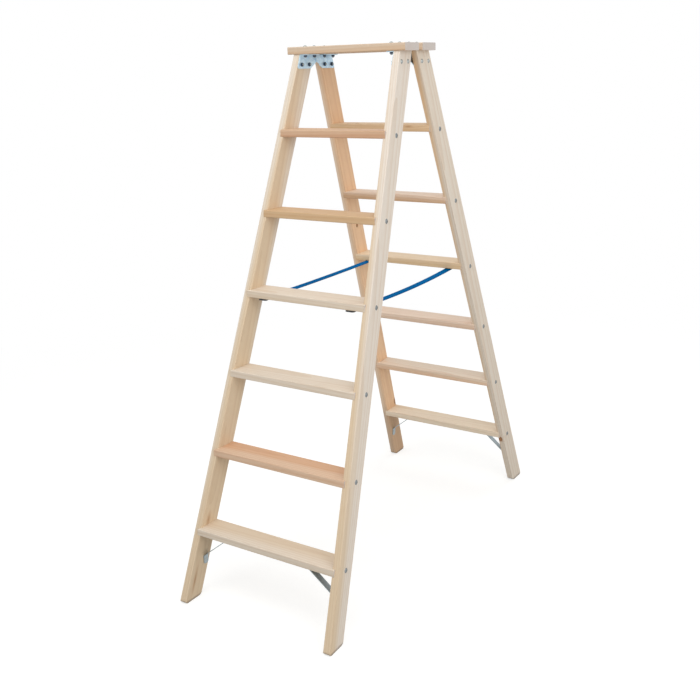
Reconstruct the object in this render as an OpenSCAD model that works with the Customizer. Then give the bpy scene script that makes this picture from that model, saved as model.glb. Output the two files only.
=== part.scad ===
// Double-sided wooden step ladder: two equal flights hinged together under a pair of top boards.
// The floor is z = 0, the hinge line runs along X at y = 0, and the front flight stands at -Y.

/* [Ladder] */
// Height of the top boards above the floor
ladder_h = 1637; // [1580:1:1800]
// Lean of each flight from upright, in degrees
lean = 20.6; // [17:0.1:24]
// Flare of each stile within its flight, in degrees
flare = 3.05; // [1:0.05:4.5]
// Width over the stiles just under the top boards
top_w = 370; // [350:1:440]
// Gap between the two flights just under the top boards
flight_gap = 29; // [28:1:45]

/* [Stiles] */
// Thickness of a stile
stile_t = 23; // [20:0.5:30]
// Depth of a stile, front to back
stile_d = 70; // [64:1:85]
// Rounding of the long edges of a stile
stile_edge = 2; // [1:0.5:4]
// Rounding of the outer corner of a foot
toe_round = 9; // [4:1:16]
// Rounding of the inner corner of a foot
heel_round = 18; // [4:1:25]

/* [Steps] */
// Rise from one step to the next
step_rise = 234; // [210:1:250]
// Height of the lowest step above the floor
first_step_h = 227; // [200:1:260]
// Depth of a step, front to back
step_d = 84; // [70:1:95]
// Thickness of a step
step_t = 22; // [20:0.5:30]
// Rounding of the long edges of a step
step_edge = 3; // [1:0.5:6]
// Depth of the groove that houses a step end in the stile
housing = 8; // [4:0.5:12]
// Clearance of a step in its groove
step_play = 0.1; // [0.05:0.05:0.3]

/* [Top boards] */
// Length of a top board
board_l = 412; // [380:1:480]
// Depth of a top board
board_d = 83; // [75:1:100]
// Thickness of a top board
board_t = 22; // [20:0.5:30]
// Gap between the two top boards
board_gap = 22; // [20:1:40]
// Rounding of the long edges of a top board
board_edge = 3; // [1:0.5:6]

/* [Hinges] */
// Thickness of the hinge plates
plate_t = 3; // [2:0.25:4]
// Height of a hinge plate below the top boards
plate_h = 42; // [34:1:55]
// Distance of a hinge plate from the edges of its stile
plate_inset = 3; // [1:0.5:6]
// Rounding of the lower corners of a hinge plate
plate_round = 5; // [2:0.5:10]
// Least depth to which a hinge plate is let into its stile
plate_let_in = 0.4; // [0.2:0.1:1.5]
// Width of the flange under the top board
flange_w = 26; // [22:1:34]
// Flange beyond the board bolts, at each end
flange_end = 10; // [8:0.5:14]
// Radius of the hinge ears
ear_r = 10; // [8:0.5:11]
// Gap between the two ears of a hinge
ear_gap = 0.3; // [0.2:0.1:0.8]
// Space between the ears and the level of the boards
ear_clear = 1; // [0.5:0.5:4]
// Space between an ear and the bend of the other plate
joggle_clear = 2; // [1.5:0.5:4]
// Length of the bend that sets one ear inwards
joggle_l = 6; // [4:0.5:8]
// Diameter of the hinge pins
pin_d = 8; // [6:0.5:10]
// Radial clearance of the hinge pins
pin_play = 0.05; // [0.03:0.01:0.1]
// Diameter of the pin heads
pin_head_d = 14; // [12:0.5:18]
// Height of the pin heads
pin_head_h = 2.5; // [1.5:0.5:4]

/* [Bolts] */
// Diameter of the carriage bolts
bolt_d = 6; // [5:0.5:8]
// Diameter of the bolt heads
bolt_head_d = 13; // [12:0.5:18]
// Height of the bolt heads
bolt_head_h = 4.2; // [3:0.1:5]
// Bolt end that stands proud of its nut
bolt_end = 3; // [1:0.5:5]
// Width of the nuts across their flats
nut_w = 10; // [9:0.5:13]
// Height of the nuts
nut_h = 5; // [3:0.5:7]
// Spacing of the two bolts in a hinge plate
plate_bolt_pitch = 40; // [30:1:46]
// Height of these bolts above the lower edge of the plate
plate_bolt_up = 12; // [10:0.5:16]
// Spacing of the two bolts in a hinge flange
board_bolt_pitch = 49; // [40:1:54]
// Distance of the flange bolts from the upright part of the plate
board_bolt_in = 12; // [9:0.5:16]

/* [Screws] */
// Diameter of the step screws
screw_d = 6; // [4:0.5:8]
// Length of the step screws under the head
screw_l = 70; // [50:1:90]
// Diameter of the step screw heads
screw_head_d = 15; // [10:0.5:16]
// Height of the step screw heads
screw_head_h = 3.6; // [2.5:0.1:5]
// Width of the hexagon socket in the step screw heads
screw_socket_w = 4; // [3:0.5:5]
// Depth of this socket
screw_socket_h = 1.8; // [1:0.1:2.4]
// Distance of the step screws below the middle of the step
screw_drop = 4.5; // [0:0.5:6]
// Diameter of the small screws
small_screw_d = 4; // [3:0.5:5]
// Length of the small screws under the head
small_screw_l = 17; // [12:0.5:18]
// Diameter of the small screw heads
small_head_d = 8; // [7:0.5:10]
// Height of the small screw heads
small_head_h = 2.4; // [1.5:0.1:3]
// Diameter of a screw's tip
screw_tip_d = 1; // [0.5:0.5:2]
// Depth to which heads are let into the slanting outer face of a stile
head_sink = 0.6; // [0.4:0.1:2]
// Radial clearance round screws, bolts and their heads
bore_play = 0.15; // [0.05:0.05:0.4]

/* [Braces] */
// Width of the brace strip
brace_w = 20; // [16:1:32]
// Thickness of the brace strip
brace_t = 2.5; // [1.5:0.25:4]
// Reach of a brace along the lowest step, from the stile
brace_in = 94; // [60:1:130]
// Drop of a brace from the step to its bend on the stile
brace_drop = 76; // [50:1:90]
// Length of the flat ends of a brace
brace_tab = 30; // [24:1:50]
// Rounding of the corners at the ends of a brace
brace_round = 8; // [1:0.5:8]

/* [Straps] */
// Number of the step that carries the straps, counted from the bottom
strap_step = 4; // [2:1:5]
// Width of the webbing
strap_w = 25; // [20:1:30]
// Thickness of the webbing
strap_t = 2; // [1:0.25:3]
// Middle of a strap from the inner face of the stile
strap_in = 46; // [30:1:80]
// Sag of the left strap
left_sag = 3; // [1:0.5:30]
// Sag of the right strap
right_sag = 11; // [1:0.5:30]
// Gap between a strap and the pieces that hold its ends
strap_play = 0.1; // [0.05:0.05:0.3]
// Depth of a strap clamp, along the strap
clamp_d = 22; // [16:1:30]
// Width of a strap clamp beyond the webbing, at each side
clamp_side = 2; // [1:0.5:5]
// Height of a strap clamp below the webbing
clamp_h = 3; // [3:0.5:10]
// Wall of a strap clamp at the end of the webbing
clamp_end = 3.5; // [3:0.5:5]
// Rounding of the corners of a strap clamp
clamp_round = 6; // [1:0.5:6]
// Spacing of the two screws in a strap clamp
clamp_pitch = 13; // [11:1:15]

/* [Hidden] */
$fn = 48;

front = 1;
rear = -1;
left = -1;
right = 1;
step_count = 6;
strap_segments = 24;
cut = 1;

pine = [0.88, 0.78, 0.63];
pine_step = [0.86, 0.72, 0.55];
zinc = [0.66, 0.72, 0.78];
webbing_blue = [0.02, 0.33, 0.62];
clamp_black = [0.10, 0.10, 0.11];

// The front flight, in side view: its inner and outer edges at a height z
under_z = ladder_h - board_t;
function inner_y(z) = -flight_gap / 2 - (under_z - z) * tan(lean);
function outer_y(z) = inner_y(z) - stile_d / cos(lean);
function mid_y(z) = (inner_y(z) + outer_y(z)) / 2;

// The right stile's outer and inner faces, which slant in both directions
function up_slope(y, z) = (y + flight_gap / 2) * sin(lean) + (z - under_z) * cos(lean);
function outer_x(y, z) = top_w / 2 - up_slope(y, z) * tan(flare);
function inner_x(y, z) = outer_x(y, z) - stile_t / cos(flare);
stile_l = (under_z / cos(lean) + stile_d) / cos(flare);
foot_x = outer_x(outer_y(0), 0);

// Steps are counted from the bottom
function step_under(i) = first_step_h + (i - 1) * step_rise - step_t;
function step_mid_z(i) = step_under(i) + step_t / 2;
function step_y(i) = mid_y(step_mid_z(i));
function screw_z(i) = step_mid_z(i) - screw_drop;
board_y = -(board_gap + board_d) / 2;

// Hinge: the plates stand upright in seats cut into the stiles
seat_z = under_z - plate_h;
seat_x = inner_x(outer_y(seat_z), seat_z) + plate_let_in;
plate_x = seat_x - plate_t;
ear_x = plate_x - ear_gap - plate_t;
pin_z = under_z - ear_r - ear_clear;
joggle_from = ear_r + joggle_clear;
joggle_to = joggle_from + joggle_l;
plate_bolt_z = seat_z + plate_bolt_up;
board_bolt_x = plate_x - board_bolt_in;
flange_l = board_bolt_pitch + 2 * flange_end;
flange_inner_y = board_y + flange_l / 2;
plate_bolt_ends = [-plate_bolt_pitch / 2, plate_bolt_pitch / 2];
board_bolt_ends = [-board_bolt_pitch / 2, board_bolt_pitch / 2];

// Brace: its lower bend lies on the stile's inner face, which is turned by brace_yaw in plan
brace_z = step_under(1) - brace_drop;
brace_y = mid_y(step_under(1) - brace_drop / 2);
brace_x = inner_x(brace_y, brace_z);
brace_yaw = atan(tan(flare) * sin(lean));
brace_tilt = asin(sin(flare) * cos(lean));

// Straps run under the strap step from one clamp to the other
strap_z = step_under(strap_step) - strap_play;
clamp_z = strap_z - strap_t - strap_play;
clamp_y = step_y(strap_step) - step_d / 2 + step_edge + clamp_d / 2;
strap_x = inner_x(step_y(strap_step), step_under(strap_step)) - strap_in;
strap_end_y = -clamp_y + clamp_d / 2 - clamp_end - strap_play;
strap_free_y = -clamp_y - clamp_d / 2;

// Point where the line from p touches the circle round c, on the turn side given by s
function touch(p, c, r, s) =
    let (d = p - c, a = atan2(d[1], d[0]) + s * acos(r / norm(d)))
    c + r * [cos(a), sin(a)];
function unit(v) = v / norm(v);
function left_of(a, b) = let (d = unit(b - a)) [-d[1], d[0]];
// The bend b of the path a, b, c, moved to the left of the path by t
function bend(a, b, c, t) =
    let (n = left_of(a, b), m = left_of(b, c))
    b + t * (n + m) / (1 + n * m);

// Placement
module flight(place) mirror([0, place == rear ? 1 : 0, 0]) children();
module on_side(side) mirror([side == left ? 1 : 0, 0, 0]) children();
module both_sides() for (side = [left, right]) on_side(side) children();
module on_stile()
    translate([0, -flight_gap / 2, under_z]) rotate([-lean, 0, 0])
        translate([top_w / 2, 0, 0]) rotate([0, -flare, 0]) children();
module along_x(from, to) translate([from, 0, 0]) rotate([90, 0, 90]) linear_extrude(to - from) children();
module inward(x, y, z) translate([x, y, z]) rotate([0, -90, 0]) children();

// Shared shapes
module rounded_rect(w, h, r) {
    square([w - 2 * r, h], center = true);
    square([w, h - 2 * r], center = true);
    for (x = [-1, 1], y = [-1, 1]) translate([x * (w / 2 - r), y * (h / 2 - r)]) circle(r);
}
// The sliver between the corner p, with neighbours a and b, and its rounding
module corner_bit(a, p, b, r) {
    u = unit(a - p);
    v = unit(b - p);
    half = acos(u * v) / 2;
    middle = p + unit(u + v) * r / sin(half);
    difference() {
        polygon([p - unit(u + v) * r, p + u * r / tan(half), middle, p + v * r / tan(half)]);
        translate(middle) circle(r);
    }
}
module dome(d, h) {
    ball_r = (d * d / 4 + h * h) / (2 * h);
    intersection() {
        translate([0, 0, h - ball_r]) sphere(ball_r, $fn = 96);
        cylinder(h = h + cut, d = 2 * d);
    }
}
// Bolts and screws point up from the underside of their head at z = 0
module bolt(l) {
    cylinder(h = l, d = bolt_d);
    mirror([0, 0, 1]) dome(bolt_head_d, bolt_head_h);
}
module nut() {
    difference() {
        cylinder(h = nut_h, d = nut_w / cos(30), $fn = 6);
        translate([0, 0, -cut]) cylinder(h = nut_h + 2 * cut, d = bolt_d + 2 * bore_play);
    }
}
module screw(d, l, head_d, head_h) {
    cylinder(h = l - d, d = d);
    translate([0, 0, l - d]) cylinder(h = d, d1 = d, d2 = screw_tip_d);
    mirror([0, 0, 1]) dome(head_d, head_h);
}
module small_screw() screw(small_screw_d, small_screw_l, small_head_d, small_head_h);
module small_screw_bore()
    translate([0, 0, -small_screw_l])
        cylinder(h = 2 * small_screw_l + cut, d = small_screw_d + 2 * bore_play);
// Bore and head seat of a bolt or screw that goes in from the outer face of a stile
module stile_bore(y, z, d, head_d) {
    inward(outer_x(y, z) + stile_t, y, z) cylinder(h = 3 * stile_t, d = d + 2 * bore_play);
    inward(outer_x(y, z) + stile_t, y, z)
        cylinder(h = stile_t + head_sink, d = head_d + 2 * bore_play);
}

// Step bodies, before their ends are cut
module step_blank(i, play) {
    translate([0, step_y(i), step_mid_z(i)])
        along_x(-foot_x, foot_x)
            rounded_rect(step_d + 2 * play, step_t + 2 * play, step_edge + play);
}
// Slab of space that starts at a depth below the stile's inner face and runs outwards
module stile_slab(from, to)
    on_stile() translate([from - stile_t, -2 * stile_d, -stile_l])
        cube([to - from, 4 * stile_d, 2 * stile_l]);
module step_grooves() {
    intersection() {
        for (i = [1:step_count]) step_blank(i, step_play);
        stile_slab(-stile_t, housing + step_play);
    }
}
module step_screw_at(i)
    inward(outer_x(step_y(i), screw_z(i)) - head_sink, step_y(i), screw_z(i)) children();

// Brace placement: x points out through the stile's face, and the bend is the origin
module on_brace() translate([brace_x, brace_y, brace_z]) rotate([0, 0, brace_yaw]) children();
// Start of each flat end at its bend: x runs to its tip, and z into the wood
module on_brace_ends() {
    on_brace() translate([-brace_in, 0, brace_drop]) mirror([1, 0, 0]) children();
    on_brace() rotate([0, 90 - brace_tilt, 0]) children();
}
module brace_screw_places() on_brace_ends() translate([brace_tab / 2, 0, -brace_t]) children();
module brace_tip_bits()
    translate([0, 0, -2 * brace_t]) linear_extrude(4 * brace_t) for (s = [-1, 1])
        corner_bit([0, s * brace_w / 2], [brace_tab, s * brace_w / 2], [brace_tab, 0], brace_round);
module clamp_screw_places(z)
    for (x = [-clamp_pitch / 2, clamp_pitch / 2]) translate([strap_x + x, clamp_y, z]) children();

module stile() {
    color(pine) difference() {
        intersection() {
            on_stile() translate([-stile_t / 2, -stile_d / 2, -stile_l])
                linear_extrude(stile_l + stile_d) rounded_rect(stile_t, stile_d, stile_edge);
            translate([0, 2 * outer_y(0), 0]) cube([2 * foot_x, -2 * outer_y(0), under_z]);
        }
        along_x(0, 2 * foot_x) {
            corner_bit([inner_y(0), 0], [outer_y(0), 0], [outer_y(under_z), under_z], toe_round);
            corner_bit([outer_y(0), 0], [inner_y(0), 0], [inner_y(under_z), under_z], heel_round);
        }
        step_grooves();
        for (i = [1:step_count]) stile_bore(step_y(i), screw_z(i), screw_d, screw_head_d);
        translate([0, 2 * outer_y(seat_z), seat_z - step_play])
            cube([seat_x, -4 * outer_y(seat_z), plate_h + 2 * cut]);
        for (e = plate_bolt_ends) stile_bore(mid_y(plate_bolt_z) + e, plate_bolt_z, bolt_d, bolt_head_d);
        brace_screw_places() small_screw_bore();
    }
}

module step(i) {
    color(pine_step) difference() {
        step_blank(i, 0);
        both_sides() {
            stile_slab(housing, top_w);
            step_screw_at(i) cylinder(h = screw_l + cut, d = screw_d + 2 * bore_play);
            if (i == 1) brace_screw_places() small_screw_bore();
            if (i == strap_step) clamp_screw_places(strap_z) small_screw_bore();
        }
    }
}

module top_board() {
    color(pine_step) difference() {
        translate([0, board_y, under_z + board_t / 2])
            along_x(-board_l / 2, board_l / 2) rounded_rect(board_d, board_t, board_edge);
        both_sides() for (e = board_bolt_ends)
            translate([board_bolt_x, board_y + e, under_z - cut])
                cylinder(h = board_t + 2 * cut, d = bolt_d + 2 * bore_play);
    }
}

// Side view of a hinge plate: it follows the stile and reaches to an ear round the pin
module plate_outline() {
    top_outer = [outer_y(under_z) + plate_inset, under_z];
    low_outer = [outer_y(seat_z) + plate_inset, seat_z];
    low_inner = [inner_y(seat_z) - plate_inset, seat_z];
    top_inner = [flange_inner_y, under_z];
    pin = [0, pin_z];
    ear_low = touch(low_inner, pin, ear_r, 1);
    ear_top = touch(top_inner, pin, ear_r, -1);
    difference() {
        union() {
            polygon([top_outer, low_outer, low_inner, ear_low, ear_top, top_inner]);
            translate(pin) circle(ear_r);
        }
        corner_bit(top_outer, low_outer, low_inner, plate_round);
        corner_bit(low_outer, low_inner, ear_low, plate_round);
    }
}
// Plan view of the plate whose ear steps inwards past the other ear
module joggle_plan() {
    far = 2 * outer_y(seat_z);
    polygon([
        [ear_x, 2 * ear_r], [plate_x - ear_gap, 2 * ear_r],
        [plate_x - ear_gap, -joggle_from], [seat_x, -joggle_to], [seat_x, far],
        [plate_x, far], [plate_x, -joggle_to], [ear_x, -joggle_from]
    ]);
}
module plate_leaf(joggled) {
    if (joggled) intersection() {
        along_x(ear_x - cut, seat_x + cut) plate_outline();
        translate([0, 0, seat_z - cut]) linear_extrude(plate_h + 2 * cut) joggle_plan();
    }
    else along_x(plate_x, seat_x) plate_outline();
}
module hinge_plate(joggled) {
    color(zinc) difference() {
        union() {
            plate_leaf(joggled);
            translate([seat_x - flange_w, flange_inner_y - flange_l, under_z - plate_t])
                cube([flange_w, flange_l, plate_t]);
        }
        inward(seat_x + cut, 0, pin_z) cylinder(h = seat_x - ear_x + 2 * cut, d = pin_d + 2 * pin_play);
        for (e = plate_bolt_ends) inward(seat_x + cut, mid_y(plate_bolt_z) + e, plate_bolt_z)
            cylinder(h = plate_t + 2 * cut, d = bolt_d + 2 * bore_play);
        for (e = board_bolt_ends) translate([board_bolt_x, board_y + e, under_z - plate_t - cut])
            cylinder(h = plate_t + 2 * cut, d = bolt_d + 2 * bore_play);
    }
}

module hinge_pin() {
    color(zinc) inward(seat_x, 0, pin_z) {
        cylinder(h = seat_x - ear_x + ear_gap, d = pin_d);
        mirror([0, 0, 1]) dome(pin_head_d, pin_head_h);
        translate([0, 0, seat_x - ear_x + ear_gap]) dome(pin_head_d, pin_head_h);
    }
}

module brace() {
    foot = brace_tab * [sin(brace_tilt), -cos(brace_tilt)];
    low_bend = [0, 0];
    high_bend = [-brace_in, brace_drop];
    head = [-brace_in - brace_tab, brace_drop];
    color(zinc) difference() {
        on_brace() rotate([90, 0, 0]) linear_extrude(brace_w, center = true) polygon([
            foot, low_bend, high_bend, head,
            head + brace_t * left_of(high_bend, head),
            bend(low_bend, high_bend, head, brace_t),
            bend(foot, low_bend, high_bend, brace_t),
            foot + brace_t * left_of(foot, low_bend)
        ]);
        on_brace_ends() brace_tip_bits();
        brace_screw_places() small_screw_bore();
    }
}

module step_screws() {
    color(zinc) both_sides() for (i = [1:step_count]) step_screw_at(i) difference() {
        screw(screw_d, screw_l, screw_head_d, screw_head_h);
        translate([0, 0, -screw_head_h - cut])
            cylinder(h = screw_socket_h + cut, d = screw_socket_w / cos(30), $fn = 6);
    }
}
module plate_bolts() {
    y = mid_y(plate_bolt_z);
    color(zinc) both_sides() for (e = plate_bolt_ends) {
        head_x = outer_x(y + e, plate_bolt_z) - head_sink;
        inward(head_x, y + e, plate_bolt_z) bolt(head_x - plate_x + nut_h + bolt_end);
    }
}
module plate_nuts() {
    color(zinc) both_sides() for (e = plate_bolt_ends)
        inward(plate_x, mid_y(plate_bolt_z) + e, plate_bolt_z) nut();
}
module board_bolts() {
    color(zinc) both_sides() for (e = board_bolt_ends)
        translate([board_bolt_x, board_y + e, ladder_h]) rotate([180, 0, 0])
            bolt(board_t + plate_t + nut_h + bolt_end);
}
module board_nuts() {
    color(zinc) both_sides() for (e = board_bolt_ends)
        translate([board_bolt_x, board_y + e, under_z - plate_t - nut_h]) nut();
}
module brace_screws() color(zinc) both_sides() brace_screw_places() small_screw();

// A cap round the end of the webbing, open towards the middle of the ladder
module strap_clamps() {
    color(clamp_black) both_sides() difference() {
        translate([strap_x, clamp_y, clamp_z - clamp_h])
            linear_extrude(strap_z - clamp_z + clamp_h)
                rounded_rect(strap_w + 2 * clamp_side, clamp_d, clamp_round);
        translate([strap_x - strap_w / 2 - strap_play, clamp_y - clamp_d / 2 + clamp_end, clamp_z])
            cube([strap_w + 2 * strap_play, clamp_d, strap_t + 2 * strap_play]);
        clamp_screw_places(clamp_z) small_screw_bore();
    }
}
module clamp_screws() color(zinc) both_sides() clamp_screw_places(clamp_z - clamp_h) small_screw();

module strap(sag) {
    function drop(y) = sag * (1 - pow(y / strap_free_y, 2));
    steps = [for (k = [0:strap_segments]) strap_free_y * (2 * k / strap_segments - 1)];
    upper = [for (y = steps) [y, strap_z - drop(y)]];
    lower = [for (k = [strap_segments:-1:0]) upper[k] - [0, strap_t]];
    color(webbing_blue) difference() {
        along_x(strap_x - strap_w / 2, strap_x + strap_w / 2) polygon(concat(
            [[-strap_end_y, strap_z]], upper, [[strap_end_y, strap_z]],
            [[strap_end_y, strap_z - strap_t]], lower, [[-strap_end_y, strap_z - strap_t]]
        ));
        for (place = [front, rear]) flight(place) clamp_screw_places(strap_z) small_screw_bore();
    }
}

flight(front) on_side(left) stile();  // front_left_stile
flight(front) on_side(right) stile();  // front_right_stile
flight(front) step(1);  // front_step_1
flight(front) step(2);  // front_step_2
flight(front) step(3);  // front_step_3
flight(front) step(4);  // front_step_4
flight(front) step(5);  // front_step_5
flight(front) step(6);  // front_step_6
flight(front) top_board();  // front_top_board
flight(front) on_side(left) hinge_plate(false);  // front_left_hinge_plate
flight(front) on_side(right) hinge_plate(false);  // front_right_hinge_plate
flight(front) on_side(left) brace();  // front_left_brace
flight(front) on_side(right) brace();  // front_right_brace
flight(front) step_screws();  // front_step_screws
flight(front) plate_bolts();  // front_plate_bolts
flight(front) plate_nuts();  // front_plate_nuts
flight(front) board_bolts();  // front_board_bolts
flight(front) board_nuts();  // front_board_nuts
flight(front) brace_screws();  // front_brace_screws
flight(front) strap_clamps();  // front_strap_clamps
flight(front) clamp_screws();  // front_clamp_screws

on_side(left) hinge_pin();  // left_hinge_pin
on_side(right) hinge_pin();  // right_hinge_pin
on_side(left) strap(left_sag);  // left_strap
on_side(right) strap(right_sag);  // right_strap

flight(rear) on_side(left) stile();  // rear_left_stile
flight(rear) on_side(right) stile();  // rear_right_stile
flight(rear) step(1);  // rear_step_1
flight(rear) step(2);  // rear_step_2
flight(rear) step(3);  // rear_step_3
flight(rear) step(4);  // rear_step_4
flight(rear) step(5);  // rear_step_5
flight(rear) step(6);  // rear_step_6
flight(rear) top_board();  // rear_top_board
flight(rear) on_side(left) hinge_plate(true);  // rear_left_hinge_plate
flight(rear) on_side(right) hinge_plate(true);  // rear_right_hinge_plate
flight(rear) on_side(left) brace();  // rear_left_brace
flight(rear) on_side(right) brace();  // rear_right_brace
flight(rear) step_screws();  // rear_step_screws
flight(rear) plate_bolts();  // rear_plate_bolts
flight(rear) plate_nuts();  // rear_plate_nuts
flight(rear) board_bolts();  // rear_board_bolts
flight(rear) board_nuts();  // rear_board_nuts
flight(rear) brace_screws();  // rear_brace_screws
flight(rear) strap_clamps();  // rear_strap_clamps
flight(rear) clamp_screws();  // rear_clamp_screws
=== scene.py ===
from math import pi, radians

import bmesh
import bpy
from mathutils import Euler, Matrix, Vector


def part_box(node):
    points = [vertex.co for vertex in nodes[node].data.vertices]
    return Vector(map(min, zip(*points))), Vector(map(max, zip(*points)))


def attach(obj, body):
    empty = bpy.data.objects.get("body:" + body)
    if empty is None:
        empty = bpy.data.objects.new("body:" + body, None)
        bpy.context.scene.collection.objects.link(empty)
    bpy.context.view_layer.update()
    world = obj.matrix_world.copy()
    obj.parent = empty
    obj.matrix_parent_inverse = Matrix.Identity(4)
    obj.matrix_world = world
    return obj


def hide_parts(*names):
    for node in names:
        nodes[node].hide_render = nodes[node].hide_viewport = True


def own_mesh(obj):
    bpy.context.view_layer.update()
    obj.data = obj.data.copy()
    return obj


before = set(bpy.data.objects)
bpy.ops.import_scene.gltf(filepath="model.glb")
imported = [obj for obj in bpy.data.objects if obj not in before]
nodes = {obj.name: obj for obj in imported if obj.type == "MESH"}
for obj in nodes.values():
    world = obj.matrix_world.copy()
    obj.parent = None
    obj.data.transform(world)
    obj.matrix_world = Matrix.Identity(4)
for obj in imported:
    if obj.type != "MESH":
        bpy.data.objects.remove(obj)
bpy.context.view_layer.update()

mm = 0.001
flights = {"front": -1, "rear": 1}  # which way along Y
sides = {"left": -1, "right": 1}  # which way along X

# Sizes that the grain follows, the same as the solids have
ladder = {
    "lean": 20.6,  # degrees, each flight from upright
    "flare": 3.05,  # degrees, each stile within its flight
    "topWidth": 370 * mm,  # over the stiles, just under the boards
    "flightGap": 29 * mm,
    "stileTop": 1615 * mm,
    "stileThick": 23 * mm,
    "stileDepth": 70 * mm,
}
wavePeriod = 2 * pi / 20  # of a wave texture at a scale of 1
noiseSpan = (0.3, 0.7)  # where most values of a noise texture lie
pureWhite = (1, 1, 1, 1)


def linear(hexCode):
    channels = [int(hexCode[i:i + 2], 16) / 255 for i in (1, 3, 5)]
    curve = [c / 12.92 if c <= 0.04045 else ((c + 0.055) / 1.055) ** 2.4 for c in channels]
    return (*curve, 1)


def addNode(tree, kind, inputs=None, **settings):
    node = tree.nodes.new("ShaderNode" + kind)
    for key, value in settings.items():
        setattr(node, key, value)
    for key, value in (inputs or {}).items():
        socket = node.inputs[key]
        if isinstance(value, bpy.types.NodeSocket):
            tree.links.new(value, socket)
        else:
            socket.default_value = value
    return node


def newMaterial(name):
    material = bpy.data.materials.new(name)
    material.use_nodes = True
    material.node_tree.nodes.clear()
    return material, material.node_tree


def dress(nodeName, material):
    mesh = nodes[nodeName].data
    mesh.materials.clear()
    mesh.materials.append(material)


def makeObject(name, bm, material):
    mesh = bpy.data.meshes.new(name)
    bm.to_mesh(mesh)
    bm.free()
    mesh.materials.append(material)
    made = bpy.data.objects.new(name, mesh)
    bpy.context.scene.collection.objects.link(made)
    return made


# Planed pine, unfinished: pale sapwood and warmer heartwood, soft stripes of late wood, no gloss
pineTones = {
    "cream": {"sap": "#e7dbcb", "heart": "#e0caac", "late": "#c9aa86"},
    "linen": {"sap": "#e8ddd0", "heart": "#e0caac", "late": "#c9aa86"},
    "pale": {"sap": "#e3d5c3", "heart": "#dcc9b0", "late": "#c9ab8a"},
    "butter": {"sap": "#eddcc5", "heart": "#e8cfad", "late": "#cfae87"},
    "honey": {"sap": "#d2b18a", "heart": "#d0b094", "late": "#bd8f60"},
    "tan": {"sap": "#e5c7a2", "heart": "#d5ae80", "late": "#bd8f60"},
    "peach": {"sap": "#f1dcc8", "heart": "#e0c3aa", "late": "#cc9c7a"},
    "rosy": {"sap": "#ecd8c4", "heart": "#cfaa86", "late": "#c08a68"},
    "russet": {"sap": "#d7b697", "heart": "#cda281", "late": "#b98662"},
    "amber": {"sap": "#f4e0ca", "heart": "#f3cda6", "late": "#d6a47c"},
    "straw": {"sap": "#d9c5ae", "heart": "#d2b393", "late": "#bd9670"},
    "gold": {"sap": "#f0dbbd", "heart": "#dcc09a", "late": "#cfa376"},
    "blush": {"sap": "#ddbea2", "heart": "#d7ac89", "late": "#c28a60"},
    "mixed": {"sap": "#e9d9c5", "heart": "#e6c3a4", "late": "#cd9f7c"},
    "biscuit": {"sap": "#e7dbcb", "heart": "#e6c49c", "late": "#c9a47c"},
}
pineGrain = {
    "ringWidth": 8 * mm,  # real rings are 2 to 4 mm, drawn coarser so that they show
    "ringWander": 5,  # how far the rings stray from round
    "wanderScale": 0.35,
    "lateFrom": 0.35,  # where in a ring the late wood starts
    "lateShare": 0.26,
    "fibreWidth": 2.5 * mm,  # real fibres are far finer, drawn as coarse streaks
    "fibreSpan": (0.5, 0.75),  # values of their noise over which a streak comes up
    "fibreShare": 0.22,
    "stretch": 18,  # how much longer than wide the streaks are
    "heartEdge": 12 * mm,  # blur of the border between heartwood and sapwood
    "heartWander": 60 * mm,  # over what width that border strays
    "knotSwell": 0.3,  # how far the rings bend round a knot
    "knotReach": 3.2,  # over how many knot radii they do
    "knotSpread": 2,  # how many knot radii the colours of a knot cover
    "endColour": "#cfc9c6",  # sawn end grain is greyer
    "endSpan": (0.75, 0.92),  # how squarely a face cuts the grain, from none of that grey to all
    "endShare": 0.75,
    "bumpDepth": 0.15 * mm,
    "bumpStrength": 0.6,
    "dull": (0.52, 0.68),
    "ior": 1.5,
    "specular": 0.35,
}
# Colours from the middle of a knot outwards, with how much of them covers the wood
knotStops = [
    (0.0, "#b8875a", 1),
    (0.28, "#a9764a", 1),
    (0.42, "#7d4f2c", 0.95),
    (0.52, "#a06c40", 0.6),
    (0.8, "#c99a6c", 0),
]
# What darkens a foot: all of its share up to one height, none above the other
# Darker over the lowest few millimetres of every foot
footBottomDark = {"colour": "#76685a", "share": 0.85, "full": 0, "gone": 9 * mm}
# Painted shade low on the rear left stile, under its first step and near the floor
paintedFootShade = {"colour": "#8f7258", "share": 0.34, "full": 190 * mm, "gone": 260 * mm}


# Distance from the nearest knot, in knot radii
def nearestKnot(tree, inBoard, board, axis, knots):
    along = "XYZ".index(axis)
    nearest = None
    for knot in knots:
        middle = board.inverted() @ Vector(knot["place"])
        middle[along] /= pineGrain["stretch"]
        shape = Vector((1, 1, 1)) / knot["radius"]
        shape[along] *= pineGrain["stretch"] / knot["long"]
        offset = addNode(tree, "VectorMath", {
            0: inBoard.outputs[0], 1: middle,
        }, operation="SUBTRACT")
        scaled = addNode(tree, "VectorMath", {
            0: offset.outputs[0], 1: shape,
        }, operation="MULTIPLY")
        length = addNode(tree, "VectorMath", {0: scaled.outputs[0]}, operation="LENGTH")
        distance = length.outputs["Value"]
        if "faint" in knot:
            paler = addNode(tree, "Math", {0: distance, 1: knot["faint"]}, operation="ADD")
            distance = paler.outputs[0]
        if nearest is not None:
            nearer = addNode(tree, "Math", {0: nearest, 1: distance}, operation="MINIMUM")
            distance = nearer.outputs[0]
        nearest = distance
    return nearest


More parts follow.
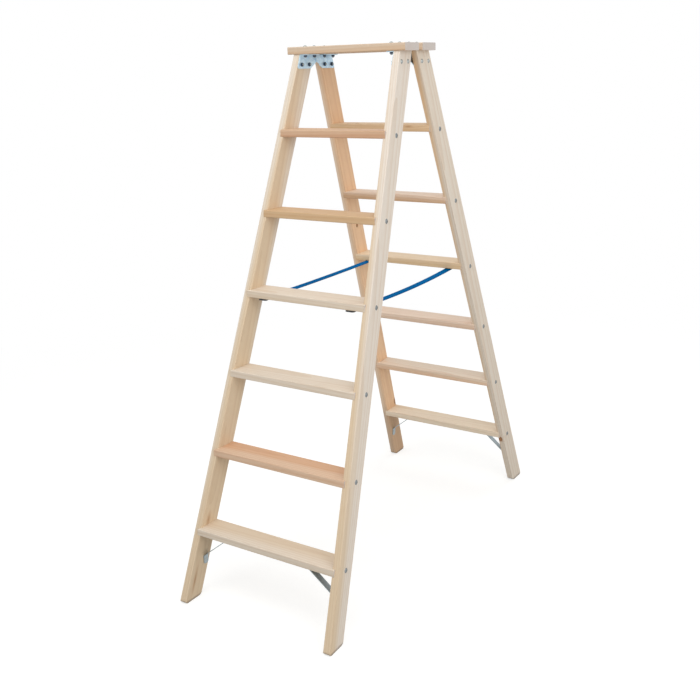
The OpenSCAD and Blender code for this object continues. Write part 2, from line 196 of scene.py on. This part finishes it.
# Heartwood round the pith and sapwood outside it, with an uneven border
def heartAndSap(tree, inBoard, axis, heartRadius, tone, seed):
    edge = 2 * pineGrain["heartEdge"]
    across = {"X": (0, 1, 1), "Z": (1, 1, 0)}[axis]
    toHeart = addNode(tree, "VectorMath", {
        0: inBoard.outputs[0], 1: across,
    }, operation="MULTIPLY")
    radius = addNode(tree, "VectorMath", {0: toHeart.outputs[0]}, operation="LENGTH")
    drift = addNode(tree, "TexNoise", {
        "Vector": inBoard.outputs[0], "W": seed, "Scale": 1 / pineGrain["heartWander"], "Detail": 2,
    }, noise_dimensions="4D")
    uneven = addNode(tree, "Math", {
        0: drift.outputs["Fac"], 1: edge, 2: radius.outputs["Value"],
    }, operation="MULTIPLY_ADD")
    sapShare = addNode(tree, "MapRange", {
        "Value": uneven.outputs[0], "From Min": heartRadius, "From Max": heartRadius + edge,
    }, interpolation_type="SMOOTHSTEP")
    return addNode(tree, "Mix", {
        0: sapShare.outputs[0], 6: linear(tone["heart"]), 7: linear(tone["sap"]),
    }, data_type="RGBA")


def withKnots(tree, wood, knotDistance):
    spread = addNode(tree, "Math", {
        0: knotDistance, 1: 1 / pineGrain["knotSpread"],
    }, operation="MULTIPLY")
    ramp = addNode(tree, "ValToRGB", {"Fac": spread.outputs[0]})
    elements = ramp.color_ramp.elements
    elements.remove(elements[0])
    for stop, hexCode, share in knotStops:
        elements.new(stop).color = (*linear(hexCode)[:3], share)
    elements.remove(elements[-1])  # the white one that a new ramp ends with
    return addNode(tree, "Mix", {
        0: ramp.outputs["Alpha"], 6: wood.outputs[2], 7: ramp.outputs["Color"],
    }, data_type="RGBA")


def withSawnEnds(tree, wood, coords, axis):
    none, full = pineGrain["endSpan"]
    facing = addNode(tree, "VectorMath", {0: coords.outputs["Normal"]}, operation="ABSOLUTE")
    endOn = addNode(tree, "SeparateXYZ", {0: facing.outputs[0]})
    sawn = addNode(tree, "MapRange", {
        "Value": endOn.outputs[axis], "From Min": none, "From Max": full,
        "To Max": pineGrain["endShare"],
    })
    return addNode(tree, "Mix", {
        0: sawn.outputs[0], 6: wood.outputs[2], 7: linear(pineGrain["endColour"]),
    }, data_type="RGBA")


# Darker towards the foot, up to the given heights; the wider band on the rear left stile is painted
# shade
def withFootDarkening(tree, wood, coords, darkening):
    place = addNode(tree, "SeparateXYZ", {0: coords.outputs["Object"]})
    darkShare = addNode(tree, "MapRange", {
        "Value": place.outputs["Z"], "From Min": darkening["full"], "From Max": darkening["gone"],
        "To Min": darkening["share"], "To Max": 0,
    })
    return addNode(tree, "Mix", {
        0: darkShare.outputs[0], 6: wood.outputs[2], 7: linear(darkening["colour"]),
    }, data_type="RGBA")


# The board matrix puts the pith along the axis, and the rings go round it
def pine(name, tone, board, axis, heartRadius, seed, knots=(), footDarkening=()):
    material, tree = newMaterial(name)
    grain = pineGrain
    along = {"X": (grain["stretch"], 1, 1), "Z": (1, 1, grain["stretch"])}[axis]
    coords = addNode(tree, "TexCoord")
    inBoard = addNode(tree, "Mapping", {
        "Vector": coords.outputs["Object"], "Location": board.translation,
        "Rotation": board.to_euler(), "Scale": along,
    }, vector_type="TEXTURE")
    ringSpace = inBoard
    if knots:
        knotDistance = nearestKnot(tree, inBoard, board, axis, knots)
        swell = addNode(tree, "MapRange", {
            "Value": knotDistance, "From Max": grain["knotReach"],
            "To Min": 1 + grain["knotSwell"], "To Max": 1,
        }, interpolation_type="SMOOTHSTEP")
        ringSpace = addNode(tree, "VectorMath", {
            0: inBoard.outputs[0], "Scale": swell.outputs[0],
        }, operation="SCALE")
    rings = addNode(tree, "TexWave", {
        "Vector": ringSpace.outputs[0], "Scale": wavePeriod / grain["ringWidth"],
        "Distortion": grain["ringWander"], "Detail": 2, "Detail Scale": grain["wanderScale"],
        "Phase Offset": seed,
    }, wave_type="RINGS", rings_direction=axis, wave_profile="SAW")
    lateWood = addNode(tree, "MapRange", {
        "Value": rings.outputs["Fac"], "From Min": grain["lateFrom"], "From Max": 1,
        "To Max": grain["lateShare"],
    }, interpolation_type="SMOOTHSTEP")
    fibres = addNode(tree, "TexNoise", {
        "Vector": inBoard.outputs[0], "W": seed, "Scale": 1 / grain["fibreWidth"], "Detail": 3,
    }, noise_dimensions="4D")
    streaks = addNode(tree, "MapRange", {
        "Value": fibres.outputs["Fac"], "To Max": grain["fibreShare"],
        "From Min": grain["fibreSpan"][0], "From Max": grain["fibreSpan"][1],
    })
    wood = heartAndSap(tree, inBoard, axis, heartRadius, tone, seed)
    for share in (lateWood, streaks):
        wood = addNode(tree, "Mix", {
            0: share.outputs[0], 6: wood.outputs[2], 7: linear(tone["late"]),
        }, data_type="RGBA")
    if knots:
        wood = withKnots(tree, wood, knotDistance)
    wood = withSawnEnds(tree, wood, coords, axis)
    for darkening in footDarkening:
        wood = withFootDarkening(tree, wood, coords, darkening)
    dull = addNode(tree, "MapRange", {
        "Value": fibres.outputs["Fac"], "From Min": noiseSpan[0], "From Max": noiseSpan[1],
        "To Min": grain["dull"][0], "To Max": grain["dull"][1],
    })
    raised = addNode(tree, "Math", {
        0: lateWood.outputs[0], 1: fibres.outputs["Fac"],
    }, operation="ADD")
    bump = addNode(tree, "Bump", {
        "Height": raised.outputs[0], "Distance": grain["bumpDepth"],
        "Strength": grain["bumpStrength"],
    })
    shader = addNode(tree, "BsdfPrincipled", {
        "Base Color": wood.outputs[2], "Roughness": dull.outputs[0], "Normal": bump.outputs[0],
        "IOR": grain["ior"], "Specular IOR Level": grain["specular"],
    })
    addNode(tree, "OutputMaterial", {"Surface": shader.outputs[0]})
    return material


# Stiles: the heart side of each board faces inwards, so the outer faces are the paler ones
stileWood = {
    "heartRadius": 62 * mm,
    "tilt": 0.6,  # degrees, pith to stile, to either side in turn
    "seedStep": 3.7,
}
# The pith is beyond the inner face at the top by heartOut, in front of the middle of the depth
# by heartFront, and comes nearer towards the foot by taper degrees.
# Each knot's place in the frame is on the face where it comes out, and it is long along the grain.
# A faint one starts that many radii from a knot's middle, so that only its paler rim shows.
stiles = {
    "front_left": {
        "tone": "cream",
        "heartOut": 57 * mm,
        "heartFront": 25 * mm,
        "taper": 0.9,
        "knots": [
            {"place": (-0.2410, -0.5767, 0.2425), "radius": 22 * mm, "long": 2.8, "faint": 1.02},
            {"place": (-0.2512, -0.6482, 0.0637), "radius": 12 * mm, "long": 8, "faint": 0.95},
        ],
        "footDarkening": [footBottomDark],
    },
    "front_right": {
        "tone": "linen",
        "heartOut": 64 * mm,
        "heartFront": 25 * mm,
        "taper": 1.3,
        "knots": [{"place": (0.2318, -0.4020, 0.5720), "radius": 6 * mm, "long": 1.3}],
        "footDarkening": [footBottomDark],
    },
    "rear_left": {
        "tone": "amber",
        "heartOut": 43 * mm,
        "heartFront": 8 * mm,
        "taper": 0.3,
        "knots": [
            {"place": (-0.2420, 0.6005, 0.2500), "radius": 9 * mm, "long": 1.6},
            {"place": (-0.1956, 0.2658, 1.0347), "radius": 6 * mm, "long": 1.3},
        ],
        # Painted shade over the lowest quarter metre, under the first step, and the darker bottom
        # few millimetres
        "footDarkening": [paintedFootShade, footBottomDark],
    },
    "rear_right": {
        "tone": "biscuit",
        "heartOut": 46 * mm,
        "heartFront": 25 * mm,
        "taper": -0.6,
        "knots": [{"place": (0.2500, 0.5479, 0.1960), "radius": 8 * mm, "long": 1.3}],
        "footDarkening": [footBottomDark],
    },
}


def dressStiles():
    for number, (key, stile) in enumerate(stiles.items()):
        flight, side = key.split("_")
        back, out = flights[flight], sides[side]
        top = Matrix.Translation((0, back * ladder["flightGap"] / 2, ladder["stileTop"]))
        leaned = Matrix.Rotation(back * radians(ladder["lean"]), 4, "X")
        corner = Matrix.Translation((out * ladder["topWidth"] / 2, 0, 0))
        flared = Matrix.Rotation(-out * radians(ladder["flare"]), 4, "Y")
        pith = Matrix.Translation((
            -out * (ladder["stileThick"] + stile["heartOut"]),
            back * ladder["stileDepth"] / 2 - stile["heartFront"],
            0,
        ))
        tilted = Matrix.Rotation(radians(stileWood["tilt"]) * (-1) ** number, 4, "X")
        tapered = Matrix.Rotation(-out * radians(stile["taper"]), 4, "Y")
        board = top @ leaned @ corner @ flared @ pith @ tapered @ tilted
        material = pine(
            "pinePlaned_" + key, pineTones[stile["tone"]], board, "Z", stileWood["heartRadius"],
            stileWood["seedStep"] * number, knots=stile["knots"], footDarkening=stile["footDarkening"],
        )
        dress(key + "_stile", material)


# Steps and top boards: the heart side of each is below, a little to the front or back in turn
stepTones = {
    "front": ["pale", "blush", "pale", "pale", "honey", "russet"],
    "rear": ["butter", "mixed", "peach", "gold", "rosy", "tan"],
}
topBoardTone = "straw"
boardWood = {
    "heartDown": 40 * mm,  # pith below the middle of the board
    "heartAside": 22 * mm,
    "heartRadius": 44 * mm,
    "tilt": 1.1,  # degrees, pith to board
    "seedFrom": 10,
    "seedStep": 2.3,
}
# Each board's own number, from which its turn and its seed come
boardNumbers = {"flightStep": 3, "topBoard": 20}
# Boards sawn otherwise: where the pith is from the middle of the board, to the back and up
pithAbove = (22 * mm, 40 * mm)
pithInFront = (-35 * mm, -40 * mm)
sawnOtherwise = {
    "front_step_1": pithAbove,
    "front_step_2": pithAbove,
    "rear_step_2": pithInFront,
    "rear_step_3": pithInFront,
    "rear_step_4": pithInFront,
    "rear_step_5": pithInFront,
}
boardKnots = {
    "rear_step_6": [
        {"place": (0.1083, 0.0960, 1.3906), "radius": 9 * mm, "long": 5, "faint": 1},
    ],
}


def dressBoard(nodeName, tone, number):
    low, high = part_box(nodeName)
    usual = (boardWood["heartAside"] * (-1) ** number, -boardWood["heartDown"])
    pith = (low + high) / 2 + Vector((0, *sawnOtherwise.get(nodeName, usual)))
    tilted = Matrix.Rotation(radians(boardWood["tilt"]) * (-1) ** (number // 2), 4, "Y")
    material = pine(
        "pinePlaned_" + nodeName, pineTones[tone], Matrix.Translation(pith) @ tilted, "X",
        boardWood["heartRadius"], boardWood["seedFrom"] + boardWood["seedStep"] * number,
        knots=boardKnots.get(nodeName, ()),
    )
    dress(nodeName, material)


def dressBoards():
    for flight, tones in stepTones.items():
        back = flights[flight]
        for step, tone in enumerate(tones, 1):
            dressBoard(f"{flight}_step_{step}", tone, step + boardNumbers["flightStep"] * back)
        dressBoard(flight + "_top_board", topBoardTone, boardNumbers["topBoard"] + back)


# Hot dip galvanised sheet steel: bluish grey, with a mottled spangle of satin crystals, and a
# painted shade on the sides that face outwards
galvanised = {
    "light": "#daf2ff",
    "dark": "#bedcf2",
    "back": "#3c3228",  # painted shade, dark brown, on the sides against the wood where they show between the stiles
    "backSpan": (0.6, 0.8),  # how squarely a face looks outwards, from none of that painted shade to all
    "metal": (0.5, 0.1),  # bright side, side under the painted shade
    "spangle": 7 * mm,
    "dull": (0.42, 0.56),
}


def galvanisedSheet():
    material, tree = newMaterial("galvanisedSheet")
    none, full = galvanised["backSpan"]
    coords = addNode(tree, "TexCoord")
    crystals = addNode(tree, "TexVoronoi", {
        "Vector": coords.outputs["Object"], "Scale": 1 / galvanised["spangle"],
    })
    shade = addNode(tree, "SeparateColor", {"Color": crystals.outputs["Color"]})
    tint = addNode(tree, "Mix", {
        0: shade.outputs[0], 6: linear(galvanised["dark"]), 7: linear(galvanised["light"]),
    }, data_type="RGBA")
    place = addNode(tree, "SeparateXYZ", {0: coords.outputs["Object"]})
    facing = addNode(tree, "SeparateXYZ", {0: coords.outputs["Normal"]})
    side = addNode(tree, "Math", {0: place.outputs["X"]}, operation="SIGN")
    outward = addNode(tree, "Math", {
        0: facing.outputs["X"], 1: side.outputs[0],
    }, operation="MULTIPLY")
    behind = addNode(tree, "MapRange", {
        "Value": outward.outputs[0], "From Min": none, "From Max": full,
    })
    # Painted shade: the outward sides of the plates and pins go dark brown and lose most of their
    # metal shine
    shadedTint = addNode(tree, "Mix", {
        0: behind.outputs[0], 6: tint.outputs[2], 7: linear(galvanised["back"]),
    }, data_type="RGBA")
    metal = addNode(tree, "MapRange", {
        "Value": behind.outputs[0],
        "To Min": galvanised["metal"][0], "To Max": galvanised["metal"][1],
    })
    dull = addNode(tree, "MapRange", {
        "Value": shade.outputs[1],
        "To Min": galvanised["dull"][0], "To Max": galvanised["dull"][1],
    })
    shader = addNode(tree, "BsdfPrincipled", {
        "Base Color": shadedTint.outputs[2], "Roughness": dull.outputs[0], "Metallic": metal.outputs[0],
    })
    addNode(tree, "OutputMaterial", {"Surface": shader.outputs[0]})
    return material


# Zinc plated steel: cool light grey, a little cloudy where it has been handled
zincPlate = {"light": "#b4b8b6", "dark": "#979c9b", "cloud": 3 * mm, "dull": (0.42, 0.56)}
screwHead = {"light": "#9a9e9e", "dark": "#777c7d", "cloud": 3 * mm, "dull": (0.42, 0.56)}
braceStrip = {"light": "#aab4b8", "dark": "#8f999e", "cloud": 6 * mm, "dull": (0.38, 0.52)}
# Steel of the nuts: darker and bluer
nutSteel = {"light": "#4f5c70", "dark": "#323d4d", "cloud": 3 * mm, "dull": (0.35, 0.5)}


def platedSteel(name, finish):
    material, tree = newMaterial(name)
    coords = addNode(tree, "TexCoord")
    cloud = addNode(tree, "TexNoise", {
        "Vector": coords.outputs["Object"], "Scale": 1 / finish["cloud"], "Detail": 3,
    })
    tint = addNode(tree, "Mix", {
        0: cloud.outputs["Fac"], 6: linear(finish["dark"]), 7: linear(finish["light"]),
    }, data_type="RGBA")
    dull = addNode(tree, "MapRange", {
        "Value": cloud.outputs["Fac"], "From Min": noiseSpan[0], "From Max": noiseSpan[1],
        "To Min": finish["dull"][0], "To Max": finish["dull"][1],
    })
    shader = addNode(tree, "BsdfPrincipled", {
        "Base Color": tint.outputs[2], "Roughness": dull.outputs[0], "Metallic": 1,
    })
    addNode(tree, "OutputMaterial", {"Surface": shader.outputs[0]})
    return material


# Moulded black plastic: fine grit from the mould, soft sheen
clampPlastic = {
    "colour": "#1b1c1e",
    "worn": "#2a2b2e",
    "grit": 0.8 * mm,
    "bumpDepth": 0.1 * mm,
    "bumpStrength": 0.5,
    "dull": 0.48,
    "ior": 1.53,
}


def mouldedPlastic():
    material, tree = newMaterial("mouldedBlackPlastic")
    coords = addNode(tree, "TexCoord")
    grit = addNode(tree, "TexNoise", {
        "Vector": coords.outputs["Object"], "Scale": 1 / clampPlastic["grit"], "Detail": 2,
    })
    tint = addNode(tree, "Mix", {
        0: grit.outputs["Fac"], 6: linear(clampPlastic["colour"]), 7: linear(clampPlastic["worn"]),
    }, data_type="RGBA")
    bump = addNode(tree, "Bump", {
        "Height": grit.outputs["Fac"], "Distance": clampPlastic["bumpDepth"],
        "Strength": clampPlastic["bumpStrength"],
    })
    shader = addNode(tree, "BsdfPrincipled", {
        "Base Color": tint.outputs[2], "Roughness": clampPlastic["dull"],
        "Normal": bump.outputs[0], "IOR": clampPlastic["ior"],
    })
    addNode(tree, "OutputMaterial", {"Surface": shader.outputs[0]})
    return material


def dressMetal():
    sheet = galvanisedSheet()
    zinc = platedSteel("zincPlatedSteel", zincPlate)
    screw = platedSteel("zincPlatedScrew", screwHead)
    strip = platedSteel("zincPlatedStrip", braceStrip)
    dark = platedSteel("darkNutSteel", nutSteel)
    plastic = mouldedPlastic()
    for flight in flights:
        for side in sides:
            dress(f"{flight}_{side}_hinge_plate", sheet)
            dress(f"{flight}_{side}_brace", strip)
        for name in ("plate_bolts", "board_bolts", "brace_screws", "clamp_screws"):
            dress(f"{flight}_{name}", zinc)
        dress(flight + "_step_screws", screw)
        for name in ("plate_nuts", "board_nuts"):
            dress(f"{flight}_{name}", dark)
        dress(flight + "_strap_clamps", plastic)
    for side in sides:
        dress(side + "_hinge_pin", sheet)


# Woven polypropylene webbing: deep blue, a matt herringbone of ribs, a firm darker edge either side
strap = {
    "x": 156.9 * mm,
    "top": 906.9 * mm,
    "width": 25 * mm,
    "thick": 2 * mm,
    "freeHalf": 330.9 * mm,  # from the middle to a clamp
    "endHalf": 349.3 * mm,  # from the middle to the end inside a clamp
    "sag": {"left": 3 * mm, "right": 11 * mm},
    "across": 8,  # faces over the width
    "segment": 6 * mm,  # length of a face, about
    "fewest": 4,  # faces along a short band
    "edge": 0.6 * mm,  # rounding, and blur of the border
    "edgeSteps": 2,
    "rib": 4 * mm,  # real ribs are about 1 mm, drawn coarser so that they show
    "yarn": 1.5 * mm,
    "selvedge": 1.8 * mm,
    "light": "#0086cc",
    "dark": "#005c9e",
    "border": "#004e86",
    "borderShare": 0.8,
    "dull": (0.92, 0.76),  # between the ribs, on them
    "bumpDepth": 0.4 * mm,
    "bumpStrength": 0.7,
    "ior": 1.49,
    "specular": 0.02,
    "foldAxis": (0, 0.99676, 0.08036),  # from the front clamp to where the rear one folds to
    "foldKeep": 0.1737,
}


def webbing():
    material, tree = newMaterial("wovenWebbing")
    coords = addNode(tree, "TexCoord")
    place = addNode(tree, "SeparateXYZ", {0: coords.outputs["Object"]})
    fromMiddle = addNode(tree, "Math", {0: place.outputs["X"]}, operation="ABSOLUTE")
    offset = addNode(tree, "Math", {
        0: fromMiddle.outputs[0], 1: strap["x"],
    }, operation="SUBTRACT")
    aside = addNode(tree, "Math", {0: offset.outputs[0]}, operation="ABSOLUTE")
    slant = addNode(tree, "Math", {0: place.outputs["Y"], 1: aside.outputs[0]}, operation="ADD")
    chevron = addNode(tree, "CombineXYZ", {"X": slant.outputs[0]})
    ribs = addNode(tree, "TexWave", {
        "Vector": chevron.outputs[0], "Scale": wavePeriod / strap["rib"],
    }, bands_direction="X")
    yarn = addNode(tree, "TexNoise", {
        "Vector": coords.outputs["Object"], "Scale": 1 / strap["yarn"], "Detail": 2,
    })
    weave = addNode(tree, "Math", {
        0: ribs.outputs["Fac"], 1: yarn.outputs["Fac"],
    }, operation="MULTIPLY")
    cloth = addNode(tree, "Mix", {
        0: weave.outputs[0], 6: linear(strap["dark"]), 7: linear(strap["light"]),
    }, data_type="RGBA")
    inner = strap["width"] / 2 - strap["selvedge"]
    rim = addNode(tree, "MapRange", {
        "Value": aside.outputs[0], "From Min": inner, "From Max": inner + strap["edge"],
        "To Max": strap["borderShare"],
    })
    tint = addNode(tree, "Mix", {
        0: rim.outputs[0], 6: cloth.outputs[2], 7: linear(strap["border"]),
    }, data_type="RGBA")
    dull = addNode(tree, "MapRange", {
        "Value": weave.outputs[0], "To Min": strap["dull"][0], "To Max": strap["dull"][1],
    })
    bump = addNode(tree, "Bump", {
        "Height": weave.outputs[0], "Distance": strap["bumpDepth"],
        "Strength": strap["bumpStrength"],
    })
    shader = addNode(tree, "BsdfPrincipled", {
        "Base Color": tint.outputs[2], "Roughness": dull.outputs[0], "Normal": bump.outputs[0],
        "IOR": strap["ior"], "Specular IOR Level": strap["specular"],
    })
    addNode(tree, "OutputMaterial", {"Surface": shader.outputs[0]})
    return material


def makeBand(name, side, low, high, material):
    bm = bmesh.new()
    count = max(strap["fewest"], round((high - low) / strap["segment"]))
    bmesh.ops.create_grid(bm, x_segments=strap["across"], y_segments=count, size=0.5)
    bmesh.ops.scale(bm, vec=(strap["width"], high - low, 1), verts=bm.verts)
    middle = (sides[side] * strap["x"], (low + high) / 2, strap["top"])
    bmesh.ops.translate(bm, vec=middle, verts=bm.verts)
    for vert in bm.verts:
        reach = min(1, abs(vert.co.y) / strap["freeHalf"])
        vert.co.z -= strap["sag"][side] * (1 - reach ** 2)
    piece = makeObject(name, bm, material)
    wall = piece.modifiers.new("wall", "SOLIDIFY")
    wall.thickness = strap["thick"]
    wall.offset = -1
    edge = piece.modifiers.new("edge", "BEVEL")
    edge.width = strap["edge"]
    edge.segments = strap["edgeSteps"]
    return piece


# The ends stay in the clamps of their own flight, and the free length goes with the front flight on
# a mesh of its own
def makeStrap(side, material):
    free, end = strap["freeHalf"], strap["endHalf"]
    bands = {
        "Webbing": (-free, free, "front_flight"),
        "WebbingFrontEnd": (-end, -free, "front_flight"),
        "WebbingRearEnd": (free, end, "rear_flight"),
    }
    for name, (low, high, body) in bands.items():
        piece = makeBand(side + name, side, low, high, material)
        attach(piece, body)
        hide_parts(side + "_strap")
        if name == "Webbing":
            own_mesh(piece)


# Pale floor that fades into a white backdrop
studio = {
    "floorSize": 14,
    "floorDrop": 0.5 * mm,
    "floorColour": "#b8b8b6",
    "floorGlow": 0.63,  # only as seen, so that the floor is near white and still takes a shadow
    "fadeFrom": 1.3,
    "fadeTo": 3.2,
    "worldLight": 0.6,
    "lampAim": (0, 0, 0.8),
}
# Soft light from in front above, from the right and from behind
lamps = {
    "keyLight": {"place": (0, -1.9, 4), "power": 46, "size": 2.4},
    "fillLight": {"place": (2.8, -1.6, 2), "power": 32, "size": 2.2},
    "backLight": {"place": (0.4, 2.8, 3.6), "power": 26, "size": 2.2},
}


# 1 on the way from the camera, straight or by way of metal or glass, and 0 as a light on the object
def cameraSees(tree):
    path = addNode(tree, "LightPath")
    mirrored = addNode(tree, "Math", {
        0: path.outputs["Is Glossy Ray"], 1: path.outputs["Is Transmission Ray"],
    }, operation="MAXIMUM")
    seen = addNode(tree, "Math", {
        0: path.outputs["Is Camera Ray"], 1: mirrored.outputs[0],
    }, operation="MAXIMUM")
    return seen.outputs[0]


# White where it is seen, and dimmer as a light
def backdropStrength(tree, seen):
    strength = addNode(tree, "MapRange", {
        "Value": seen, "To Min": studio["worldLight"], "To Max": 1,
    })
    return strength.outputs[0]


def paleFloor():
    material, tree = newMaterial("paleFloor")
    seen = cameraSees(tree)
    glow = addNode(tree, "Math", {0: seen, 1: studio["floorGlow"]}, operation="MULTIPLY")
    matte = addNode(tree, "BsdfDiffuse", {"Color": linear(studio["floorColour"])})
    lift = addNode(tree, "Emission", {"Color": pureWhite, "Strength": glow.outputs[0]})
    lifted = addNode(tree, "AddShader", {0: matte.outputs[0], 1: lift.outputs[0]})
    backdrop = addNode(tree, "Emission", {
        "Color": pureWhite, "Strength": backdropStrength(tree, seen),
    })
    coords = addNode(tree, "TexCoord")
    far = addNode(tree, "VectorMath", {0: coords.outputs["Object"]}, operation="LENGTH")
    fade = addNode(tree, "MapRange", {
        "Value": far.outputs["Value"],
        "From Min": studio["fadeFrom"], "From Max": studio["fadeTo"],
    }, interpolation_type="SMOOTHSTEP")
    ground = addNode(tree, "MixShader", {
        0: fade.outputs[0], 1: lifted.outputs[0], 2: backdrop.outputs[0],
    })
    addNode(tree, "OutputMaterial", {"Surface": ground.outputs[0]})
    return material


def makeFloor():
    bm = bmesh.new()
    bmesh.ops.create_grid(bm, x_segments=1, y_segments=1, size=studio["floorSize"] / 2)
    bmesh.ops.translate(bm, vec=(0, 0, -studio["floorDrop"]), verts=bm.verts)
    floor = makeObject("floor", bm, paleFloor())


def makeWorld():
    world = bpy.data.worlds.new("studio")
    world.use_nodes = True
    tree = world.node_tree
    tree.nodes.clear()
    strength = backdropStrength(tree, cameraSees(tree))
    sky = addNode(tree, "Background", {"Color": pureWhite, "Strength": strength})
    addNode(tree, "OutputWorld", {"Surface": sky.outputs[0]})
    bpy.context.scene.world = world


def makeLamps():
    for name, lamp in lamps.items():
        light = bpy.data.lights.new(name, "AREA")
        light.energy = lamp["power"]
        light.size = lamp["size"]
        stand = bpy.data.objects.new(name, light)
        stand.location = lamp["place"]
        aim = Vector(studio["lampAim"]) - Vector(lamp["place"])
        stand.rotation_euler = aim.to_track_quat("-Z", "Y").to_euler()
        bpy.context.scene.collection.objects.link(stand)


# The photograph's view: place in metres, angles in degrees, lens and sensor in millimetres
photoView = {
    "place": (1.5367, -2.5039, 1.5759),
    "azimuth": 32.69,
    "elevation": 17.13,
    "roll": -1.668,
    "lens": 47.32,
    "sensor": 36,
}


def makeCamera():
    data = bpy.data.cameras.new("photoCamera")
    data.lens = photoView["lens"]
    data.sensor_width = photoView["sensor"]
    camera = bpy.data.objects.new("photoCamera", data)
    aim = Euler((pi / 2 - radians(photoView["elevation"]), 0, radians(photoView["azimuth"])))
    turn = aim.to_matrix() @ Matrix.Rotation(radians(photoView["roll"]), 3, "Z")
    camera.matrix_world = Matrix.Translation(photoView["place"]) @ turn.to_4x4()
    bpy.context.scene.collection.objects.link(camera)
    bpy.context.scene.camera = camera


bpy.context.scene.view_settings.view_transform = "Standard"
makeCamera()
makeFloor()
makeWorld()
makeLamps()
print("studio: camera, floor, world and lamps")
dressStiles()
dressBoards()
print("wood: stiles, steps and top boards")
dressMetal()
print("metal and plastic: plates, braces, bolts, screws and clamps")
webbingCloth = webbing()
for side in sides:
    makeStrap(side, webbingCloth)
print("straps: both sides")
